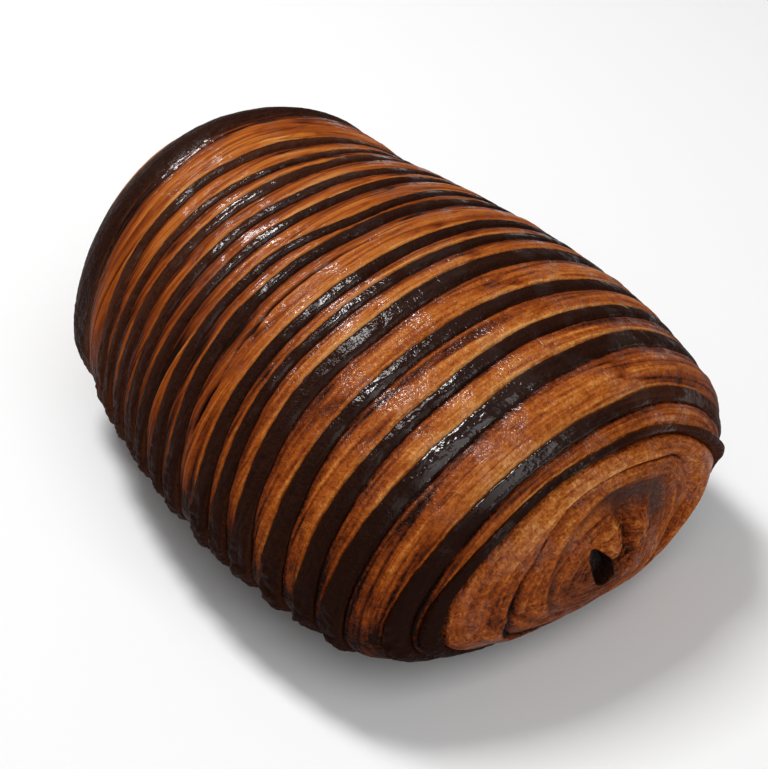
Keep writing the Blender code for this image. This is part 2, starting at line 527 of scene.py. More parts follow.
class BandLayout:
    """Where the wandering edges of every band lie, shared by the bands and the dough between."""

    WANDER = 0.20
    WANDER_CELLS = 22
    FRAY = 0.06
    FRAY_CELLS = 260
    ROWS_APART = 7.3

    def __init__(self) -> None:
        """Set up one grain for the far edges and one for the near edges."""
        self._grains = {End.FAR: Grain(1), End.NEAR: Grain(2)}

    def edge(self, number: int, end: End, angle: np.ndarray) -> np.ndarray:
        """The path of a band's far or near edge at an angle, with its wander and its fray.

        Args:
            number: The band's place in BANDS.
            end: Which of its two edges.
            angle: Angle about the crest line.

        Returns:
            The path of the edge, in millimetres.
        """
        turn = angle / TURN
        row = np.full_like(turn, number * self.ROWS_APART)
        grain = self._grains[end]
        wander = self.WANDER * grain.rough(row, turn, self.WANDER_CELLS, 3)
        fray = self.FRAY * grain.at(row + 3.1, turn, self.FRAY_CELLS)
        side = degrees_of(angle)
        return BANDS[number].middle(side) + end.value * BANDS[number].half_width(side) + wander + fray

    def middle(self, number: int, angle: np.ndarray) -> np.ndarray:
        """The path half way between a band's two edges."""
        return (self.edge(number, End.FAR, angle) + self.edge(number, End.NEAR, angle)) / 2.0


def under_shade(angle: np.ndarray, grain: Grain, path: np.ndarray) -> np.ndarray:
    """How far the crust has turned under: zero over the roll, one below it, where painted shade darkens its
    tone.

    Args:
        angle: Angle about the crest line.
        grain: The grain that makes the edge of the shade uneven.
        path: Path along the roll, in millimetres.

    Returns:
        The shade, from zero to one.
    """
    wave = grain.rough(path / 3.0, angle / TURN, 40, 2) * 4.0
    side = degrees_of(angle) + wave
    shown = smooth_step(168.0, 180.0, side)
    back = smooth_step(10.0, -2.0, side)
    return np.clip(shown + back, 0.0, 1.0)


@dataclass
class CocoaBand:
    """One ribbon of cocoa dough: steep at its far edge, rounded off into a groove at its near one."""

    number: int
    shape: RollShape
    layout: BandLayout
    rows: int = 26
    columns: int = 760
    sunk: float = 0.55
    far_roundness: float = 4.5
    near_roundness: float = 2.6
    bead: float = 0.05

    def height(self, across: np.ndarray, path: np.ndarray, angle: np.ndarray) -> np.ndarray:
        """The ribbon's height: a superellipse across it, with slow swells, blisters and wrinkles.

        Args:
            across: Place across the ribbon, from minus one at its far edge to one at its near edge.
            path: Path along the roll.
            angle: Angle about the crest line.

        Returns:
            The height over the smooth roll, in millimetres.
        """
        band = BANDS[self.number]
        grain, fine = Grain(40 + self.number), Grain(220 + self.number)
        turn = angle / TURN
        roundness = np.where(across < 0.0, self.far_roundness, self.near_roundness)
        dome = (1.0 - np.abs(across) ** roundness) ** (1.0 / roundness)
        rise = band.rise * (1.0 + 0.35 * grain.rough(path / 9.0, turn, 34, 2))
        side = degrees_of(angle)
        rise = rise + band.lip * smooth_step(58.0, 30.0, side) * smooth_step(-14.0, 8.0, side)
        foot = smooth_step(158.0, 176.0, side) * smooth_step(205.0, 190.0, side)
        reach = 0.05 + 0.35 * smooth_step(-12.0, 12.0, path)
        rise = rise + foot * reach * (1.0 + 1.1 * fine.rough(path / 2.2 + 30.0, turn, 70, 2))
        rise = rise + 0.45 * foot * np.abs(grain.rough(path / 1.3 + 60.0, turn, 120, 2))
        blister = self.bead * fine.rough(path / 1.3, turn, 150, 3)
        wrinkle = 0.03 * grain.rough(path / 0.7 + 5.0, turn, 40, 2)
        return dome * (rise + self.sunk + blister + wrinkle) - self.sunk

    def _masks(self, across: np.ndarray, path: np.ndarray, angle: np.ndarray) -> dict[str, np.ndarray]:
        """Where the ribbon is dull, browner at its edges, lit by a painted sheen, and wet with syrup.

        Args:
            across: Place across the ribbon, from minus one to one.
            path: Path along the roll.
            angle: Angle about the crest line.

        Returns:
            The masks by name. They run from zero to one, but the painted sheen is below zero where it
            darkens.
        """
        turn = angle / TURN
        side = degrees_of(angle) + 6.0 * Grain(3).rough(path / 8.0, turn, 12, 2)
        dull = smooth_step(118.0, 150.0, side) + smooth_step(55.0, 25.0, side)
        dull = np.clip(dull + smooth_step(-30.0, -36.0, path), 0.0, 1.0)
        # Painted sheen: paler far bands and paler tops on the last two bands; below zero it darkens the near
        # bands on the shown shoulder.
        pale = smooth_step(8.0, -30.0, path) * (1.0 - 0.9 * smooth_step(-31.0, -35.0, path))
        pale = pale + 0.8 * smooth_step(40.0, 46.0, path) * smooth_step(96.0, 66.0, side)
        pale = pale - 0.5 * smooth_step(20.0, 44.0, path) * smooth_step(98.0, 112.0, side)
        pool = smooth_step(-0.15, 0.25, Grain(6).rough(path / 9.0, turn, 26, 2))
        wet = BANDS[self.number].gloss * bump(side - 113.0, 17.0) * (0.35 + 0.65 * pool)
        return {"dull": dull, "edge": smooth_step(0.80, 1.0, np.abs(across)), "pale": pale, "wet": wet}

    def build(self, material: bpy.types.Material) -> bpy.types.Object:
        """Build the ribbon as a sheet whose two edges are tucked under the dough.

        Args:
            material: The piece's finish.

        Returns:
            The finished piece.
        """
        slope = np.linspace(-1.0, 1.0, self.rows)[:, None]
        across = np.sin(slope * math.pi / 2.0)
        angle = np.broadcast_to(column_angles(self.columns), (self.rows, self.columns))
        far = self.layout.edge(self.number, End.FAR, angle)
        near = self.layout.edge(self.number, End.NEAR, angle)
        path = (far + near) / 2.0 + across * (near - far) / 2.0
        height = self.height(np.broadcast_to(across, path.shape), path, angle)
        points = self.shape.raised(path, angle, height, BAND_FLOOR)
        name = f"cocoa_band_{self.number + 1:02d}"
        piece = SkinPiece(name, points, path, angle, self._masks(across, path, angle))
        return piece.make(self.shape, material)


@dataclass
class DoughRidge:
    """The plain dough between two bands: a narrow groove, a crown of layers, and a notch."""

    number: int
    shape: RollShape
    layout: BandLayout
    spacing: float = 0.17
    columns: int = 760
    split_ridge: int = 7

    def _creases(self, gap: np.ndarray, width: np.ndarray, path: np.ndarray, turn: np.ndarray) -> np.ndarray:
        """Edges of layers: thin lines where a stretched relief crosses zero, at two scales.

        Args:
            gap: Distance from the near edge of the band before, in millimetres.
            width: Width of the ridge at that angle, in millimetres.
            path: Path along the roll.
            turn: Share of a turn.

        Returns:
            How much of a crease there is, from zero to about one.
        """
        coarse, fine = Grain(100 + self.number), Grain(120 + self.number)
        long_line = bump(coarse.at(path / 2.1 + 40.0, turn, 7), 0.10)
        short_line = bump(fine.at(path / 1.0 + 10.0, turn, 18), 0.20)
        inside = smooth_step(0.3, 0.9, gap) * smooth_step(0.25, 0.7, width - gap)
        return inside * (0.75 * long_line + 0.40 * short_line)

    def _relief(self, gap: np.ndarray, width: np.ndarray, path: np.ndarray, turn: np.ndarray) -> np.ndarray:
        """The ridge's height over the smooth roll.

        Args:
            gap: Distance from the near edge of the band before, in millimetres.
            width: Width of the ridge at that angle, in millimetres.
            path: Path along the roll.
            turn: Share of a turn.

        Returns:
            The crown, with its top past the middle, less the groove and the notch at its sides,
            with long layers and fine blisters.
        """
        grain, fine = Grain(60 + self.number), Grain(90 + self.number)
        share = np.clip(gap / np.maximum(width, 0.3), 0.0, 1.0)
        crown = np.sin(math.pi * share**1.15) ** 0.7 * np.minimum(0.08 * width + 0.12, 0.50)
        groove = 0.26 * bump(gap - 0.05, 0.24)
        notch = 0.16 * bump(width - gap, 0.22)
        layers = 0.10 * grain.rough(path / 1.5, turn, 9, 3) + 0.06 * fine.rough(path / 0.5, turn, 24, 2)
        blister = 0.05 * fine.rough(path / 1.2 + 9.0, turn, 150, 3)
        return crown - groove - notch + layers + blister - 0.12

    def _split(self, path: np.ndarray, side: np.ndarray) -> np.ndarray:
        """The two splits of the widest ridge: a long bowed one, open in its middle, and a short one.

        Args:
            path: Path along the roll.
            side: Side angle in degrees.

        Returns:
            The greater of two bells about the splits' courses, each scaled by how open it is.
        """
        grain = Grain(130)
        turn = side / 360.0
        ragged = 0.16 * grain.rough(np.zeros_like(path), turn, 70, 3)
        bowed = 2.95 + 1.35 * np.square((side - 116.0) / 24.0) + ragged
        open_long = np.clip(1.0 - np.square((side - 117.0) / 27.0), 0.0, 1.0)
        open_short = np.clip(1.0 - np.square((side - 150.0) / 8.0), 0.0, 1.0)
        long_split = open_long * bump(path - bowed, 0.10 + 0.12 * open_long)
        short_split = open_short * bump(path - 5.0 - 2.5 * ragged, 0.10 + 0.20 * open_short)
        return np.maximum(long_split, short_split)

    def _tone(self, gap: np.ndarray, width: np.ndarray, path: np.ndarray, angle: np.ndarray) -> np.ndarray:
        """How pale the crust is painted, from zero for burnt to one for tan.

        The groove after a band is deep red brown, deepened with painted shade, the crown is golden,
        and a thin edge before the next band is palest. Layers and broad patches vary it, and painted
        shade deepens it over the back shoulder, down the shown side and low on the back.

        Args:
            gap: Distance from the near edge of the band before, in millimetres.
            width: Width of the ridge at that angle, in millimetres.
            path: Path along the roll.
            angle: Angle about the crest line.

        Returns:
            The tone: a base with soft steps and bells taken from it or added, and two grains.
        """
        grain, fine, patch = Grain(60 + self.number), Grain(90 + self.number), Grain(160)
        turn = angle / TURN
        side = degrees_of(angle)
        share = np.clip(gap / np.maximum(width, 0.3), 0.0, 1.0)
        tone = 0.47 + 0.12 * smooth_step(0.0, 0.6, share) + 0.09 * smooth_step(-20.0, 25.0, path)
        # The groove after a band and a thin line past it are darker: caramel red brown, with painted shade
        # in the groove.
        tone = tone - 0.42 * bump(gap, 0.55) - 0.14 * bump(gap - 1.1, 0.22)
        tone = tone + 0.20 * bump(width - gap - 0.28, 0.24)
        tone = tone + 0.14 * grain.rough(path / 1.5, turn, 9, 3) + 0.13 * fine.rough(path / 0.5, turn, 24, 2)
        tone = tone + 0.08 * patch.rough(path / 7.0, turn, 14, 3)
        tone = tone - 0.12 * smooth_step(2.4, 0.9, width)
        # Painted shade: darker over the back shoulder, which faces away from the light.
        tone = tone - 0.10 * smooth_step(94.0, 62.0, side)
        near = smooth_step(0.0, 20.0, path)
        far = smooth_step(-12.0, -24.0, path)
        # Painted shade: darker down the shown side, low on the back and on the near end's side.
        low = (0.22 - 0.12 * near - 0.08 * far) * smooth_step(112.0, 146.0, side)
        low = low + 0.27 * smooth_step(50.0, 10.0, side)
        low = low + (0.08 + 0.13 * near) * smooth_step(142.0, 172.0, side)
        low = low + 0.04 * near * smooth_step(120.0, 136.0, side)
        low = low + 0.06 * smooth_step(43.0, 48.0, path) * smooth_step(118.0, 140.0, side)
        return tone - low

    def build(self, material: bpy.types.Material) -> bpy.types.Object:
        """Build the ridge from the middle of one band to the middle of the next.

        Args:
            material: The piece's finish.

        Returns:
            The finished piece.
        """
        angle = column_angles(self.columns)
        start = self.layout.middle(self.number, angle)
        stop = self.layout.middle(self.number + 1, angle)
        rows = max(14, int(np.max(stop - start) / self.spacing))
        path = start + (stop - start) * np.linspace(0.0, 1.0, rows)[:, None]
        angle = np.broadcast_to(angle, path.shape)
        side = degrees_of(angle)
        near_edge = self.layout.edge(self.number, End.NEAR, angle)
        next_edge = self.layout.edge(self.number + 1, End.FAR, angle)
        gap, width = path - near_edge, next_edge - near_edge
        creases = self._creases(gap, width, path, angle / TURN)
        height = self._relief(gap, width, path, angle / TURN) - 0.20 * creases
        # The tone follows the height: painted light on the crown and painted shade in the groove and notch;
        # the creases are the layers' own dark edges.
        tone = self._tone(gap, width, path, angle) - 0.30 * creases + 0.20 * height
        if self.number == self.split_ridge:
            split = self._split(path, side)
            height = height - 0.9 * split
            # Painted shade in the splits.
            tone = tone - 0.95 * split
        under = under_shade(angle, Grain(4), path)
        height = np.where((gap < 0.0) | (gap > width), np.minimum(height, -0.25), height)
        height = height * (1.0 - 0.4 * under) - 0.35 * smooth_step(160.0, 176.0, side)
        points = self.shape.raised(path, angle, height, DOUGH_FLOOR)
        coarse = 0.15 + 0.85 * smooth_step(-10.0, 34.0, path)
        dry = smooth_step(118.0, 148.0, side) + smooth_step(60.0, 30.0, side)
        dry = dry + 0.35 * smooth_step(-5.0, -25.0, path)
        masks = {
            # Painted shade where the crust turns under the roll.
            "tone": tone * (1.0 - 0.88 * under),
            "grain": coarse,
            "fibre": 1.15 - 0.40 * coarse,
            "dull": np.clip(dry, 0.0, 1.0),
            "stain": np.zeros_like(path),
        }
        name = f"dough_ridge_{self.number + 1:02d}"
        return SkinPiece(name, points, path, angle, masks).make(self.shape, material)


@dataclass
class WoundEnd:
    """An end of the roll: leaves of dough wound round the bar, with the core's tongue in the eye.

    Places on the leaves are given by their depth in from the rim, in millimetres of the near
    end's face, and by the side angle. Places in the eye are given in Y and Z.
    """

    end: End
    shape: RollShape
    layout: BandLayout
    spacing: float = 0.18
    most_rows: int = 136
    columns: int = 720
    near_home: float = 53.0
    far_home: float = -44.9
    face_reach: float = 24.6
    seam_depth: float = 4.8
    seam_drop: float = 2.6
    mouth: tuple[float, float] = (-1.9, 15.5)
    mouth_lean: float = 27.0
    mouth_long: float = 3.9
    mouth_wide: float = 1.55
    mouth_depth: float = 3.4
    hollow: tuple[float, float] = (3.6, 18.2)
    hollow_radii: tuple[float, float] = (8.0, 5.6)
    slit: tuple[float, float] = (-4.8, 15.2)
    grain: float = 1.35
    fibre: float = 0.45

    def _inward(self, path: np.ndarray) -> np.ndarray:
        """Depth in from the rim, stretched so that both ends reach their eye at the same depth."""
        home = self.near_home if self.end is End.NEAR else self.far_home
        return self.face_reach * (path - home) / (self.shape.path_end(self.end) - home)

    def _mouth(self, y: np.ndarray, z: np.ndarray) -> np.ndarray:
        """The bar's mouth: a leaning teardrop with its point up, one inside and zero outside.

        Args:
            y: Y on the smooth face, in millimetres.
            z: Z on the smooth face, in millimetres.

        Returns:
            Soft steps across the outline, which is half an ellipse's width less a share of its height.
        """
        lean = math.radians(self.mouth_lean)
        right, up = y - self.mouth[0], z - self.mouth[1]
        side = right * math.cos(lean) + up * math.sin(lean)
        tall = (up * math.cos(lean) - right * math.sin(lean)) / self.mouth_long
        half = self.mouth_wide * np.sqrt(np.clip(1.0 - tall * tall, 0.0, 1.0)) * (1.0 - 0.30 * tall)
        return smooth_step(0.22, -0.22, np.abs(side) - half) * smooth_step(1.06, 0.92, np.abs(tall))

    def _leaves(
        self, inward: np.ndarray, path: np.ndarray, angle: np.ndarray, rim: np.ndarray
    ) -> tuple[np.ndarray, np.ndarray, np.ndarray]:
        """Height, tone, and stains and painted shade of the two leaves and the seams between them.

        Args:
            inward: Depth in from the rim.
            path: Path along the roll.
            angle: Angle about the crest line.
            rim: Distance in from the last band's edge, in millimetres.

        Returns:
            Height in millimetres: rounded leaves, each lower than the one outside it, cut by a
            seam that is a thin line on top and an open groove down the shown side. Then the
            tone, with painted shade in it, and the mask of stains and painted shade, from zero to one.
        """
        turn = angle / TURN
        side = degrees_of(angle)
        grain, fine = Grain(170), Grain(171)
        wander = 0.30 * grain.rough(np.full_like(path, 3.0), turn, 10, 2)
        seam = self.seam_depth + wander + self.seam_drop * smooth_step(108.0, 150.0, side)
        seam = seam - 6.4 * smooth_step(182.0, 240.0, side) - 3.8 * smooth_step(-10.0, -90.0, side)
        second = 9.0 + wander + 4.0 * smooth_step(95.0, 175.0, side)
        second = second - 5.0 * smooth_step(190.0, 250.0, side) - 1.0 * smooth_step(-10.0, -90.0, side)
        opened = smooth_step(138.0, 156.0, side)
        groove = bump(inward - seam, 0.22 + 0.24 * opened) * smooth_step(12.0, 46.0, side)
        streak = bump(inward - second, 0.75) * smooth_step(80.0, 96.0, side)
        lines = bump(fine.at(inward / 1.2 + 60.0, turn, 9), 0.16)
        arcs = fine.rough(inward / 0.55, turn, 16, 3) - 0.9 * lines
        broad = grain.rough(inward / 1.9, turn, 9, 3)
        outer = np.sin(math.pi * np.clip(inward / np.maximum(seam, 0.5), 0.0, 1.0))
        inner = np.sin(math.pi * np.clip((inward - seam) / np.maximum(second - seam + 1.0, 2.0), 0.0, 1.0))
        height = 0.35 * outer + 0.30 * inner - 0.40 * smooth_step(-0.1, 0.5, inward - seam)
        height = height - (0.60 + 0.40 * opened) * groove - 0.30 * streak + 0.11 * arcs + 0.14 * broad
        height = height - 0.45 * bump(rim, 0.35)
        # Painted light and shade over the relief: the leaves' crowns a little paler, and the seam's groove,
        # the rim by the band and the strip inside the seam darker.
        tone = 0.70 + 0.05 * outer + 0.04 * inner + 0.17 * arcs + 0.14 * broad
        tone = tone - 0.62 * groove - 0.26 * bump(rim, 0.45) - 0.12 * bump(inward - seam - 0.9, 0.8)
        low = smooth_step(118.0, 170.0, side)
        inner_side = smooth_step(0.0, 3.0, inward - second)
        # Painted shade: darker down the lower side and over the face's upper back; the inner leaf and the
        # second seam's streak are darker as well.
        tone = tone - 0.22 * low - 0.10 * inner_side - 0.10 * streak - 0.13 * smooth_step(104.0, 68.0, side)
        # The mask of stains and painted shade: the second seam's purple brown streak, and the lower inner
        # face, browner in streaks and in painted shade.
        stain = 0.55 * streak + 0.45 * low * inner_side * (0.5 + 0.5 * broad)
        return height, tone, stain

    def _eye(self, y: np.ndarray, z: np.ndarray) -> tuple[np.ndarray, np.ndarray, np.ndarray]:
        """Height, tone and painted shade of the eye: a hollow round the upper half of a two-lobed tongue.

        Args:
            y: Y on the smooth face, in millimetres.
            z: Z on the smooth face, in millimetres.

        Returns:
            The height, the tone and the hollow's painted shade that are added to the leaves'.
        """
        grain = Grain(180)
        right = (y - self.hollow[0]) / self.hollow_radii[0]
        up = (z - self.hollow[1]) / self.hollow_radii[1]
        ring = np.hypot(right, up) + 0.03 * grain.rough(y / 3.0, np.mod(z / 60.0, 1.0), 20, 2)
        turn = np.degrees(np.arctan2(up, right))
        reach = smooth_step(-55.0, 0.0, turn) * smooth_step(135.0, 95.0, turn)
        hollow = bump(ring - 1.02, 0.31) * reach
        inside = smooth_step(1.02, 0.70, ring)
        left_lobe = np.exp(-np.square((y + 0.2) / 2.3) - np.square((z - 19.0) / 3.6))
        right_lobe = np.exp(-np.square((y - 5.8) / 3.4) - np.square((z - 17.8) / 3.8))
        lobes = np.maximum(left_lobe, right_lobe)
        valley = bump(y - 2.4 + 0.25 * (z - 19.0), 0.7)
        valley = valley * smooth_step(13.5, 16.0, z) * smooth_step(23.5, 21.5, z)
        wrinkle = grain.rough((y * 0.5 + z * 0.85) / 0.8, np.mod((y - z) / 90.0, 1.0), 70, 3)
        height = -0.7 * hollow + inside * (1.7 * lobes - 0.9 - 0.70 * valley + 0.34 * wrinkle)
        # Painted shade in the hollow round the tongue and in the valley between its lobes, and painted light
        # on the lobes.
        tone = -0.10 * hollow + inside * (0.28 * lobes - 0.14 - 0.20 * valley + 0.24 * wrinkle)
        return height, tone, 0.95 * hollow

    def build(self, material: bpy.types.Material) -> bpy.types.Object:
        """Build the face as rings that shrink to the eye, with its last ring closed by a fan.

        Args:
            material: The piece's finish.

        Returns:
            The finished piece.
        """
        edge = len(BANDS) - 1 if self.end is End.NEAR else 0
        angle = column_angles(self.columns)
        start = self.layout.middle(edge, angle)
        stop = self.shape.path_end(self.end)
        rows = min(self.most_rows, int(np.max(np.abs(stop - start)) / self.spacing))
        path = start + (stop - start) * np.linspace(0.0, 1.0, rows)[:, None]
        angle = np.broadcast_to(angle, path.shape)
        smooth = self.shape.points(path, angle)
        y, z = smooth[..., 1], smooth[..., 2]
        rim = (path - self.layout.edge(edge, self.end, angle)) * self.end.value
        height, tone, stain = self._leaves(self._inward(path), path, angle, rim)
        eye_height, eye_tone, eye_shade = self._eye(y, z)
        mouth = self._mouth(y, z)
        above_slit = z - self.slit[1]
        slit = bump(y - self.slit[0] - 0.24 * above_slit, 0.16) * smooth_step(1.1, 0.6, np.abs(above_slit))
        height = height + eye_height - 0.8 * slit
        height = height * (1.0 - mouth) - self.mouth_depth * mouth
        # Painted shade in the slit and on the walls of the bar's mouth.
        tone = tone + eye_tone - 0.4 * slit - 1.3 * smooth_step(0.0, 0.12, mouth)
        height = np.where(rim < 0.0, np.minimum(height, -0.3), height)
        under = under_shade(angle, Grain(5), path) * smooth_step(6.0, 2.5, z)
        facing = smooth_step(0.80, 0.45, self.shape.share(path))[..., None]
        forward = np.array([self.end.value, 0.0, 0.0])
        outward = self.shape.normals(path, angle) * (1.0 - facing) + forward * facing
        points = smooth + outward * (height - self.shape.slack(path, angle))[..., None]
        points[..., 2] = np.maximum(points[..., 2], DOUGH_FLOOR)
        dull = 0.75 + 0.4 * under + mouth - 0.75 * smooth_step(-0.2, 0.3, eye_height)
        masks = {
            # Painted shade where the crust turns under the roll.
            "tone": tone * (1.0 - 0.75 * under),
            "grain": np.full_like(path, self.grain),
            "fibre": np.full_like(path, self.fibre),
            "dull": np.clip(dull, 0.0, 1.0),
            # The leaves' stains and painted shade, with the eye's painted shade.
            "stain": np.clip(stain + eye_shade, 0.0, 1.0),
        }
        if self.end is End.FAR:
            points, path, angle = points[::-1], path[::-1], angle[::-1]
            masks = {name: mask[::-1] for name, mask in masks.items()}
        near = self.end is End.NEAR
        name = f"wound_end_{self.end.name.lower()}"
        piece = SkinPiece(name, points, path, angle, masks, pole_first=not near, pole_last=near)
        return piece.make(self.shape, material)


@dataclass
class GiandujaBar:
    """The filling: a tilted bar through the roll, softened by the oven, broken at its ends."""

    width: float = 8.5
    thickness: float = 4.6
    center_y: float = -2.0
    center_z: float = 16.4
    tilt: float = 117.0
    far_end: float = -51.0
    near_end: float = 50.4
    squareness: float = 6.0
    columns: int = 120
    end_rows: int = 26
    body_rows: int = 60
    dome: float = 0.7
    crumble: float = 0.16

    def build(self, material: bpy.types.Material) -> bpy.types.Object:
        """Build the bar as a superellipse carried along X, closed by domed, crumbly ends.

        Args:
            material: The piece's finish.

        Returns:
            The finished piece.
        """
        body = np.linspace(self.far_end + self.dome, self.near_end - self.dome, self.body_rows)
        slope = np.linspace(math.pi / 2.0 - 0.01, 0.0, self.end_rows)
        swell = self.dome * np.sin(slope)
        taper = np.cos(slope) ** 0.5
        station = np.concatenate([body[0] - swell, body[1:-1], body[-1] + swell[::-1]])
        shrink = np.concatenate([taper, np.ones(self.body_rows - 2), taper[::-1]])
        angle = np.arange(self.columns)[None, :] / self.columns * TURN
        across = signed_power(np.cos(angle), self.squareness) * self.width / 2.0
        deep = signed_power(np.sin(angle), self.squareness) * self.thickness / 2.0
        lean = math.radians(self.tilt)
        wide, thick = across * shrink[:, None], deep * shrink[:, None]
        y = self.center_y + wide * math.cos(lean) - thick * math.sin(lean)
        z = self.center_z + wide * math.sin(lean) + thick * math.cos(lean)
        crumb = Grain(200).rough(station[:, None] / 1.3 + y / 1.9, np.mod(z / 25.0, 1.0), 20, 3)
        broken = self.crumble * np.abs(crumb) * smooth_step(1.0, 0.4, shrink)[:, None]
        x = station[:, None] - np.sign(station[:, None]) * broken
        points = np.stack([np.broadcast_to(x, y.shape), y, z], axis=-1)
        path = np.broadcast_to(station[:, None], y.shape)
        around = np.broadcast_to(angle, y.shape)
        piece = SkinPiece("gianduja_filling", points, path, around, {}, pole_first=True, pole_last=True)
        return piece.make(RollShape(), material)


class Shading:
    """A material's node tree, with short methods that add a node and link its inputs."""

    def __init__(self, tree: bpy.types.NodeTree) -> None:
        """Work on this tree."""
        self.tree = tree

    @classmethod
    def of_new(cls, name: str) -> tuple[bpy.types.Material, "Shading", bpy.types.Node]:
        """Start a material.

        Args:
            name: The material's name.

        Returns:
            The material, the shading of its tree and its Principled shader.
        """
        material = bpy.data.materials.new(name)
        material.use_nodes = True
        return material, cls(material.node_tree), material.node_tree.nodes["Principled BSDF"]

    def add(self, kind: str, inputs: Optional[dict] = None, **settings: object) -> bpy.types.Node:
        """Add a node.

        Args:
            kind: The node's Blender type.
            inputs: Input names or numbers, each with a value or the socket that feeds it.
            settings: Attributes of the node itself.

        Returns:
            The new node.
        """
        node = self.tree.nodes.new(kind)
        for name, value in settings.items():
            setattr(node, name, value)
        for name, value in (inputs or {}).items():
            if isinstance(value, Socket):
                self.tree.links.new(value, node.inputs[name])
            else:
                node.inputs[name].default_value = value
        return node

    def link(self, value: Socket, node: bpy.types.Node, name: str) -> None:
        """Feed a node's input from a socket."""
        self.tree.links.new(value, node.inputs[name])

    def attribute(self, name: str) -> Socket:
        """A mask that the mesh carries at its points."""
        return self.add("ShaderNodeAttribute", attribute_name=name).outputs["Fac"]

    def math(self, operation: str, first: Feed, second: Feed = 0.0) -> Socket:
        """The result of a Math node on one or two values or sockets."""
        return self.add("ShaderNodeMath", {0: first, 1: second}, operation=operation).outputs[0]

    def scaled(self, value: Feed, share: Feed) -> Socket:
        """The value times the share."""
        return self.math("MULTIPLY", value, share)

    def total(self, first: Feed, *others: Feed) -> Socket:
        """The sum of values or sockets, by a chain of Math nodes.

        Args:
            first: The first of them.
            others: Those that are added to it.

        Returns:
            The sum.
        """
        for other in others:
            first = self.math("ADD", first, other)
        return first

    def spread(self, value: Socket, low: float, high: float) -> Socket:
        """Zero at low and one at high, straight between them and level beyond."""
        node = self.add("ShaderNodeMapRange", {"Value": value, "From Min": low, "From Max": high})
        return node.outputs["Result"]

    def stretched(self, place: Socket, factors: Triple) -> Socket:
        """The place with each axis times its own factor."""
        return self.add("ShaderNodeVectorMath", {0: place, 1: factors}, operation="MULTIPLY").outputs[0]

    def noise(self, place: Socket, scale: Feed, detail: float = 2.0, swirl: float = 0.0) -> Socket:
        """Smooth noise from zero to one.

        Args:
            place: Where the noise is looked up.
            scale: Its cells in one unit of place.
            detail: How many finer layers lie on it.
            swirl: How far it is drawn out by itself.

        Returns:
            The noise.
        """
        inputs = {"Vector": place, "Scale": scale, "Detail": detail, "Distortion": swirl}
        return self.add("ShaderNodeTexNoise", inputs).outputs["Fac"]

    def relief(self, height: Socket, depth: float) -> Socket:
        """The normal of a surface with this height, where a height of one is a depth in metres."""
        inputs = {"Strength": 1.0, "Distance": depth, "Height": height}
        return self.add("ShaderNodeBump", inputs).outputs["Normal"]

    def ramp(self, factor: Socket, stops: Sequence[tuple[float, Triple]]) -> Socket:
        """A colour ramp.

        Args:
            factor: The place on the ramp.
            stops: Each stop's place and colour.

        Returns:
            The colour, straight between one stop and the next.
        """
        node = self.add("ShaderNodeValToRGB", {"Fac": factor})
        ramp = node.color_ramp
        while len(ramp.elements) < len(stops):
            ramp.elements.new(1.0)
        for element, (place, color) in zip(ramp.elements, stops):
            element.position = place
            element.color = (*color, 1.0)
        return node.outputs["Color"]


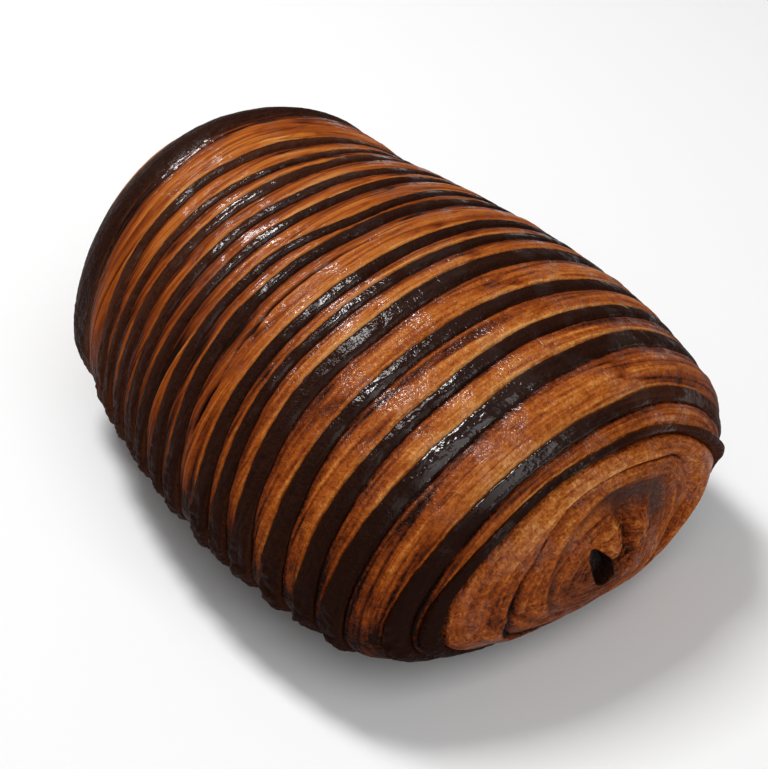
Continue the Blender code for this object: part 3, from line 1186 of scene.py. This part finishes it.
class CrustGrain:
    """The shared group: fibres at two scales, edges of flakes, a speckle, blisters and patches.

    Sizes are in metres, and the lengths are shares by which a pattern is slower along the turn.
    """

    NAME = "crust_grain"
    OUTPUTS = ("Fibre", "Broad Fibre", "Flake", "Speckle", "Blister", "Patch")
    SPECKLE_SIZE = 0.00045
    BLISTER_SIZE = 0.0011
    FIBRE_SIZE = 0.00045
    BROAD_FIBRE_SIZE = 0.0011
    FIBRE_LENGTH = 0.045
    BLISTER_LENGTH = 0.55
    FLAKE_SIZE = 0.0020
    PATCH_SIZE = 0.005
    SPOT_DETAIL = 1.5

    @classmethod
    def _fibre(cls, shading: Shading, chart: Socket, size: float) -> Socket:
        """Noise drawn out along the turn.

        Args:
            shading: The group's tree.
            chart: The piece's map, in metres.
            size: The size across a fibre, in metres.

        Returns:
            The noise.
        """
        across = 1.0 / size
        return shading.noise(shading.stretched(chart, (across, across * cls.FIBRE_LENGTH, 0.0)), 1.0)

    @classmethod
    def _flake(cls, shading: Shading, chart: Socket) -> Socket:
        """Edges of flakes, where drawn-out noise turns over.

        Args:
            shading: The group's tree.
            chart: The piece's map, in metres.

        Returns:
            Minus one on a fine line where the noise is a half, and a pale strip on one side of it.
        """
        noise = shading.math("SUBTRACT", cls._fibre(shading, chart, cls.FLAKE_SIZE), 0.5)
        line = shading.spread(shading.math("ABSOLUTE", noise), 0.026, 0.004)
        past = shading.spread(noise, 0.11, 0.03)
        lifted = shading.scaled(past, shading.math("GREATER_THAN", noise, 0.01))
        return shading.math("SUBTRACT", shading.scaled(lifted, 0.5), line)

    @classmethod
    def group(cls) -> bpy.types.ShaderNodeTree:
        """Build the node group on its first use.

        Returns:
            The group. It puts out only masks, each from zero to one apart from the flakes.
        """
        if cls.NAME in bpy.data.node_groups:
            return bpy.data.node_groups[cls.NAME]
        tree = bpy.data.node_groups.new(cls.NAME, "ShaderNodeTree")
        for name, size in (("Speckle Size", cls.SPECKLE_SIZE), ("Blister Size", cls.BLISTER_SIZE)):
            socket = tree.interface.new_socket(name, in_out="INPUT", socket_type="NodeSocketFloat")
            socket.default_value = size
        for name in cls.OUTPUTS:
            tree.interface.new_socket(name, in_out="OUTPUT", socket_type="NodeSocketFloat")
        shading = Shading(tree)
        given = shading.add("NodeGroupInput").outputs
        place = shading.add("ShaderNodeTexCoord").outputs["Object"]
        chart = shading.add("ShaderNodeUVMap", uv_map="skin").outputs["UV"]
        drawn = shading.stretched(chart, (1.0, cls.BLISTER_LENGTH, 1.0))
        fine = shading.math("DIVIDE", 1.0, given["Speckle Size"])
        coarse = shading.math("DIVIDE", 1.0, given["Blister Size"])
        masks = {
            "Fibre": cls._fibre(shading, chart, cls.FIBRE_SIZE),
            "Broad Fibre": cls._fibre(shading, chart, cls.BROAD_FIBRE_SIZE),
            "Flake": cls._flake(shading, chart),
            "Speckle": shading.spread(shading.noise(place, fine, cls.SPOT_DETAIL, 0.8), 0.30, 0.70),
            "Blister": shading.noise(drawn, coarse, cls.SPOT_DETAIL, 0.2),
            "Patch": shading.spread(shading.noise(place, 1.0 / cls.PATCH_SIZE), 0.50, 0.62),
        }
        shading.add("NodeGroupOutput", masks)
        return tree

    @classmethod
    def placed(
        cls, shading: Shading, speckle_size: float = SPECKLE_SIZE, blister_size: float = BLISTER_SIZE
    ) -> bpy.types.bpy_prop_collection:
        """Place the group in a material.

        Args:
            shading: The material's tree.
            speckle_size: The size of a speck in metres.
            blister_size: The size of a blister in metres.

        Returns:
            The group's outputs, by name.
        """
        sizes = {"Speckle Size": speckle_size, "Blister Size": blister_size}
        return shading.add("ShaderNodeGroup", sizes, node_tree=cls.group()).outputs


@dataclass(frozen=True)
class DoughFinish:
    """The plain dough's glazed crust: burnt through red brown and gold to tan.

    fibre to blister are how far each grain moves the tone, and the relief shares are how far
    each moves the surface; the blisters' tone follows their relief, painted light on their crests and
    painted shade in their hollows. The syrup's coat lies in patches, with a thin film between them.
    """

    name: str = "baked_dough"
    speckle_size: float = 0.00055
    blister_size: float = 0.0012
    fibre: float = 0.38
    broad_fibre: float = 0.36
    flake: float = 0.13
    speckle: float = 0.24
    blister: float = 0.34
    relief: float = 0.00060
    fibre_relief: float = 0.40
    fleck_relief: float = 0.80
    blister_relief: float = 0.55
    roughness: float = 0.35
    roughness_swing: float = 0.3
    patch_coat: float = 0.88
    coat_roughness: float = 0.14
    specular: float = 0.04
    # The dark purple brown of the face's stains and of its painted shade.
    stain: Triple = (0.058, 0.021, 0.013)
    tones: tuple[tuple[float, Triple], ...] = (
        (0.0, (0.010, 0.003, 0.0015)),
        (0.2, (0.080, 0.014, 0.0025)),
        (0.4, (0.180, 0.034, 0.0045)),
        (0.6, (0.315, 0.070, 0.008)),
        (0.8, (0.470, 0.146, 0.024)),
        (1.0, (0.630, 0.280, 0.080)),
    )

    def material(self) -> bpy.types.Material:
        """Build the material: tone and grain give the colour, and the grain gives the relief.

        Returns:
            The material.
        """
        material, shading, shader = Shading.of_new(self.name)
        grain = CrustGrain.placed(shading, self.speckle_size, self.blister_size)

        def swing(output: str, share: Feed) -> Socket:
            """A grain's swing about its middle, times a share."""
            return shading.scaled(shading.math("SUBTRACT", grain[output], 0.5), share)

        coarse = shading.attribute("grain")
        fibre = shading.total(swing("Fibre", self.fibre), swing("Broad Fibre", self.broad_fibre))
        fibre = shading.total(fibre, shading.scaled(grain["Flake"], self.flake))
        fibre = shading.scaled(fibre, shading.attribute("fibre"))
        # The blisters' tone is painted light on their crests and painted shade in their hollows; the speckle
        # is the crust's own fleck.
        fleck = swing("Speckle", shading.scaled(coarse, self.speckle))
        fleck = shading.total(fleck, swing("Blister", shading.scaled(coarse, self.blister)))
        tone = shading.total(shading.attribute("tone"), shading.total(fibre, fleck))
        # The mask of stains and painted shade mixes in the dark purple brown.
        stained_and_shaded = shading.add("ShaderNodeMix", {"Factor": shading.attribute("stain")}, data_type="RGBA")
        shading.link(shading.ramp(tone, self.tones), stained_and_shaded, "A")
        stained_and_shaded.inputs["B"].default_value = (*self.stain, 1.0)
        shading.link(stained_and_shaded.outputs["Result"], shader, "Base Color")
        rough = shading.total(shading.scaled(grain["Speckle"], self.roughness_swing), self.roughness)
        shading.link(rough, shader, "Roughness")
        wet = shading.total(shading.scaled(grain["Patch"], self.patch_coat), 1.0 - self.patch_coat)
        bright = shading.math("SUBTRACT", 1.0, shading.attribute("dull"))
        shading.link(shading.scaled(wet, bright), shader, "Coat Weight")
        height = shading.scaled(fibre, self.fibre_relief)
        height = shading.total(height, shading.scaled(fleck, self.fleck_relief))
        height = shading.total(height, swing("Blister", self.blister_relief))
        normal = shading.relief(height, self.relief)
        for name in ("Normal", "Coat Normal"):
            shading.link(normal, shader, name)
        shader.inputs["Coat Roughness"].default_value = self.coat_roughness
        shader.inputs["Specular IOR Level"].default_value = self.specular
        return material


@dataclass(frozen=True)
class CocoaFinish:
    """The cocoa dough: near black and syrup glossed above, matte where it turns under.

    speckle and flake are those grains' shares beside the broad fibre's, contrast scales the
    three together and darkness is taken off them. The pairs of relief shares are the speckle's
    and the blisters', first in the crust and then in its syrup.
    """

    name: str = "cocoa_dough"
    speckle_size: float = 0.00055
    blister_size: float = 0.0014
    contrast: float = 0.5
    speckle: float = 0.5
    flake: float = 0.25
    darkness: float = 0.22
    # How far the painted sheen lightens the tone.
    pale: float = 0.42
    edge: float = 0.45
    relief: float = 0.00026
    relief_shares: tuple[float, float] = (0.30, 2.2)
    coat_relief_shares: tuple[float, float] = (0.13, 1.6)
    roughness: float = 0.40
    roughness_swing: float = 0.3
    patch_coat: float = 0.60
    coat_roughness: float = 0.11
    specular: float = 0.03
    tones: tuple[tuple[float, Triple], ...] = (
        (0.0, (0.014, 0.0042, 0.0022)),
        (0.35, (0.026, 0.0075, 0.0036)),
        (0.7, (0.055, 0.0160, 0.0070)),
        (1.0, (0.100, 0.0240, 0.0060)),
    )

    def material(self) -> bpy.types.Material:
        """Build the material: fine blisters break the gloss into points of light.

        Returns:
            The material.
        """
        material, shading, shader = Shading.of_new(self.name)
        grain = CrustGrain.placed(shading, self.speckle_size, self.blister_size)
        mix = shading.total(grain["Broad Fibre"], shading.scaled(grain["Speckle"], self.speckle))
        mix = shading.total(mix, shading.scaled(grain["Flake"], self.flake))
        tone = shading.math("SUBTRACT", shading.scaled(mix, self.contrast), self.darkness)
        # Painted sheen: the tone lifted where the ribbon carries it.
        tone = shading.total(tone, shading.scaled(shading.attribute("pale"), self.pale))
        tone = shading.total(tone, shading.scaled(shading.attribute("edge"), self.edge))
        shading.link(shading.ramp(tone, self.tones), shader, "Base Color")
        rough = shading.total(shading.scaled(grain["Speckle"], self.roughness_swing), self.roughness)
        shading.link(rough, shader, "Roughness")
        wet = shading.total(shading.scaled(grain["Patch"], self.patch_coat), shading.attribute("wet"))
        bright = shading.math("SUBTRACT", 1.0, shading.attribute("dull"))
        shading.link(shading.scaled(shading.math("MINIMUM", wet, 1.0), bright), shader, "Coat Weight")
        for name, shares in (("Normal", self.relief_shares), ("Coat Normal", self.coat_relief_shares)):
            fine = shading.scaled(grain["Speckle"], shares[0])
            height = shading.total(fine, shading.scaled(grain["Blister"], shares[1]))
            shading.link(shading.relief(height, self.relief), shader, name)
        shader.inputs["Coat Roughness"].default_value = self.coat_roughness
        shader.inputs["Specular IOR Level"].default_value = self.specular
        return material


@dataclass(frozen=True)
class GiandujaFinish:
    """The filling: dark, satin and slightly grainy where it broke."""

    name: str = "gianduja"
    speckle_size: float = 0.0007
    relief: float = 0.0003
    roughness: float = 0.5
    specular: float = 0.15
    tones: tuple[tuple[float, Triple], ...] = (
        (0.2, (0.006, 0.004, 0.004)),
        (0.8, (0.022, 0.011, 0.008)),
    )

    def material(self) -> bpy.types.Material:
        """Build the material: one speckle gives both its colour and its relief.

        Returns:
            The material.
        """
        material, shading, shader = Shading.of_new(self.name)
        speckle = CrustGrain.placed(shading, self.speckle_size)["Speckle"]
        shading.link(shading.ramp(speckle, self.tones), shader, "Base Color")
        shading.link(shading.relief(speckle, self.relief), shader, "Normal")
        shader.inputs["Roughness"].default_value = self.roughness
        shader.inputs["Specular IOR Level"].default_value = self.specular
        return material


@dataclass(frozen=True)
class FloorFinish:
    """The pale floor: an even, matte, barely mottled white."""

    name: str = "pale_floor"
    color: Triple = (0.90, 0.90, 0.90)
    mottle: float = 0.99
    mottle_scale: float = 6.0
    roughness: float = 0.8

    def material(self) -> bpy.types.Material:
        """Build the material: noise mixes the colour with one a little darker.

        Returns:
            The material.
        """
        material, shading, shader = Shading.of_new(self.name)
        noise = shading.add("ShaderNodeTexNoise", {"Scale": self.mottle_scale}).outputs["Fac"]
        low = tuple(value * self.mottle for value in self.color)
        shading.link(shading.ramp(noise, ((0.3, low), (0.7, self.color))), shader, "Base Color")
        shader.inputs["Roughness"].default_value = self.roughness
        return material


@dataclass(frozen=True)
class Softbox:
    """A light that faces the pastry, with angles in degrees, sizes in metres and power in watts."""

    name: str
    azimuth: float
    elevation: float
    distance: float
    size: tuple[float, float]
    power: float


@dataclass
class Studio:
    """The floor, the lights and the camera, which looks as the photograph's camera did.

    Angles are in degrees. The camera's distance, target and sensor are in millimetres, its focal
    length and frame are in pixels, and the lengths of the floor and the lights are in metres.
    """

    azimuth: float = 50.06
    elevation: float = 35.14
    roll: float = 0.33
    distance: float = 272.6
    target: Triple = (0.46, 3.9, 14.3)
    focal_px: float = 1786.5
    frame_px: float = 769.0
    sensor: float = 36.0
    world_strength: float = 0.15
    floor_size: float = 6.0
    aim_height: float = 0.02
    softboxes: tuple[Softbox, ...] = (
        Softbox("back_softbox", -86.0, 62.0, 0.6, (0.11, 0.24), 2.8),
        Softbox("front_softbox", 72.0, 48.0, 0.9, (0.9, 0.9), 4.5),
        Softbox("side_softbox", 98.0, 12.0, 0.6, (0.04, 0.04), 0.2),
    )

    def _direction(self, azimuth: float, elevation: float) -> np.ndarray:
        """The unit vector from the pastry towards an azimuth and an elevation in degrees."""
        turn, lift = math.radians(azimuth), math.radians(elevation)
        return np.array([math.sin(turn) * math.cos(lift), -math.cos(turn) * math.cos(lift), math.sin(lift)])

    def _facing(self, azimuth: float, elevation: float) -> Triple:
        """Euler angles of an object there that looks back at the pastry."""
        return (math.radians(90.0 - elevation), 0.0, math.radians(azimuth))

    def _add_camera(self) -> None:
        """Place the camera at the photograph's viewing angle, with its lens fitted in pixels."""
        lens = bpy.data.cameras.new("camera")
        lens.sensor_width = self.sensor
        lens.lens = self.focal_px * self.sensor / self.frame_px
        lens.clip_start = 0.01
        camera = bpy.data.objects.new("camera", lens)
        back = self._direction(self.azimuth, self.elevation)
        camera.location = (np.array(self.target) + back * self.distance) * MM
        camera.rotation_euler = self._facing(self.azimuth, self.elevation)
        camera.rotation_euler.rotate_axis("Z", math.radians(self.roll))
        bpy.context.scene.collection.objects.link(camera)
        bpy.context.scene.camera = camera

    def _add_light(self, softbox: Softbox) -> None:
        """Add a softbox.

        Args:
            softbox: Its name, place, size and power.
        """
        lamp = bpy.data.lights.new(softbox.name, "AREA")
        lamp.shape = "RECTANGLE"
        lamp.size, lamp.size_y = softbox.size
        lamp.energy = softbox.power
        box = bpy.data.objects.new(softbox.name, lamp)
        aim = np.array([0.0, 0.0, self.aim_height])
        box.location = self._direction(softbox.azimuth, softbox.elevation) * softbox.distance + aim
        box.rotation_euler = self._facing(softbox.azimuth, softbox.elevation)
        bpy.context.scene.collection.objects.link(box)

    def _add_floor(self) -> None:
        """Lay the pale floor, which isn't part of the pastry."""
        bpy.ops.mesh.primitive_plane_add(size=self.floor_size)
        floor = bpy.context.active_object
        floor.name = "floor"
        floor.data.materials.append(FloorFinish().material())

    def build(self) -> None:
        """Set the world, the lights, the floor, the camera and the view transform."""
        world = bpy.data.worlds.new("studio")
        world.use_nodes = True
        background = world.node_tree.nodes["Background"]
        background.inputs["Color"].default_value = (1.0, 1.0, 1.0, 1.0)
        background.inputs["Strength"].default_value = self.world_strength
        bpy.context.scene.world = world
        for softbox in self.softboxes:
            self._add_light(softbox)
        self._add_floor()
        self._add_camera()
        bpy.context.scene.view_settings.view_transform = "Standard"


def main() -> None:
    """Build the studio and the pastry, and report each piece."""
    logging.basicConfig(level=logging.INFO, format="%(name)s: %(message)s")
    Studio().build()
    shape = RollShape()
    layout = BandLayout()
    dough = DoughFinish().material()
    cocoa = CocoaFinish().material()
    pieces = [WoundEnd(End.FAR, shape, layout).build(dough), WoundEnd(End.NEAR, shape, layout).build(dough)]
    pieces += [DoughRidge(number, shape, layout).build(dough) for number in range(len(BANDS) - 1)]
    pieces += [CocoaBand(number, shape, layout).build(cocoa) for number in range(len(BANDS))]
    for piece in pieces:
        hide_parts("pastry_roll")
    bar = GiandujaBar().build(GiandujaFinish().material())
    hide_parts("gianduja_bar")
    for piece in pieces + [bar]:
        LOG.info("%s: %d faces", piece.name, len(piece.data.polygons))


if __name__ == "__main__":
    main()
